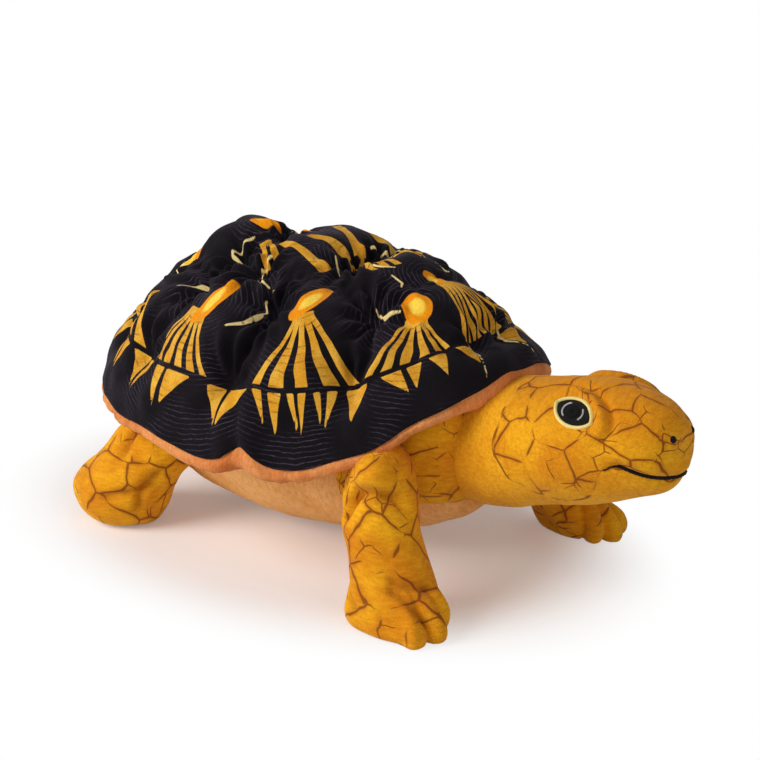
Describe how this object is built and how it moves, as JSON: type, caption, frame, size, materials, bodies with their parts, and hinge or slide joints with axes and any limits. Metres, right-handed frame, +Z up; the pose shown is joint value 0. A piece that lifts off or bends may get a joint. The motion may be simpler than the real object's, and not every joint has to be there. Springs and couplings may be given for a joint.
{
  "type": "plush tortoise toy",
  "caption": "Stuffed tortoise toy with a domed printed shell, crackle-print skin, embroidered face and soft legs, head and tail that bend at the seams.",
  "frame": {"origin": "on the ground under the middle of the whole toy", "axes": "+X to the nose, +Y to the toy's left, +Z up"},
  "size_m": [0.3138, 0.1702, 0.1407],
  "materials": {
    "shell_print": "short-pile polyester print, black with golden rays",
    "lining": "orange-tan velour",
    "skin_print": "ochre velour with a brown crackle print",
    "throat": "plain ochre velour",
    "belly": "plain peach velour",
    "light_thread": "pale yellow satin stitch",
    "dark_thread": "dark satin stitch",
    "black_thread": "black satin stitch",
    "stuffing": "polyester fibre filling, hidden"
  },
  "bodies": {
    "root": {"carapace_cover": "shell_print", "shell_underside": "lining", "shell_filling": "stuffing", "chest_skin": "skin_print", "rump_skin": "skin_print", "plastron_panel": "belly", "body_filling": "stuffing"},
    "neck": {"neck_skin": "skin_print", "neck_filling": "stuffing"},
    "head": {"head_crown": "skin_print", "head_side_right": "skin_print", "head_side_left": "skin_print", "jaw_panel": "throat", "head_filling": "stuffing", "eye_ring_right": "light_thread", "eye_ring_left": "light_thread", "eye_iris_right": "dark_thread", "eye_iris_left": "dark_thread", "eye_pupil_right": "black_thread", "eye_pupil_left": "black_thread", "nostril_right": "black_thread", "nostril_left": "black_thread", "mouth_line": "dark_thread"},
    "front_right_leg": {"front_right_leg_skin": "skin_print", "front_right_leg_filling": "stuffing"},
    "front_left_leg": {"front_left_leg_skin": "skin_print", "front_left_leg_filling": "stuffing"},
    "rear_right_leg": {"rear_right_leg_skin": "skin_print", "rear_right_leg_filling": "stuffing"},
    "rear_left_leg": {"rear_left_leg_skin": "skin_print", "rear_left_leg_filling": "stuffing"},
    "tail": {"tail_skin": "skin_print", "tail_filling": "stuffing"}
  },
  "joints": [
    {"name": "neck_turn", "type": "hinge", "parent": "root", "child": "neck", "pos_m": [0.05895, 0, 0.064], "axis": [0, 0, 1], "range_deg": [-20, 20], "stiffness_Nm_per_rad": 0.5},
    {"name": "head_nod", "type": "hinge", "parent": "neck", "child": "head", "pos_m": [0.08095, 0, 0.067], "axis": [0, 1, 0], "range_deg": [-15, 15], "stiffness_Nm_per_rad": 0.5},
    {"name": "front_right_leg_swing", "type": "hinge", "parent": "root", "child": "front_right_leg", "pos_m": [0.04695, -0.051, 0.056], "axis": [0, 1, 0], "range_deg": [-20, 20], "stiffness_Nm_per_rad": 0.6},
    {"name": "front_left_leg_swing", "type": "hinge", "parent": "root", "child": "front_left_leg", "pos_m": [0.04695, 0.051, 0.056], "axis": [0, 1, 0], "range_deg": [-20, 20], "stiffness_Nm_per_rad": 0.6},
    {"name": "rear_right_leg_swing", "type": "hinge", "parent": "root", "child": "rear_right_leg", "pos_m": [-0.09005, -0.045, 0.043], "axis": [0, 1, 0], "range_deg": [-20, 20], "stiffness_Nm_per_rad": 0.6},
    {"name": "rear_left_leg_swing", "type": "hinge", "parent": "root", "child": "rear_left_leg", "pos_m": [-0.09005, 0.045, 0.043], "axis": [0, 1, 0], "range_deg": [-20, 20], "stiffness_Nm_per_rad": 0.6},
    {"name": "tail_wag", "type": "hinge", "parent": "root", "child": "tail", "pos_m": [-0.12605, 0, 0.05], "axis": [0, 0, 1], "range_deg": [-20, 20], "stiffness_Nm_per_rad": 0.05}
  ]
}
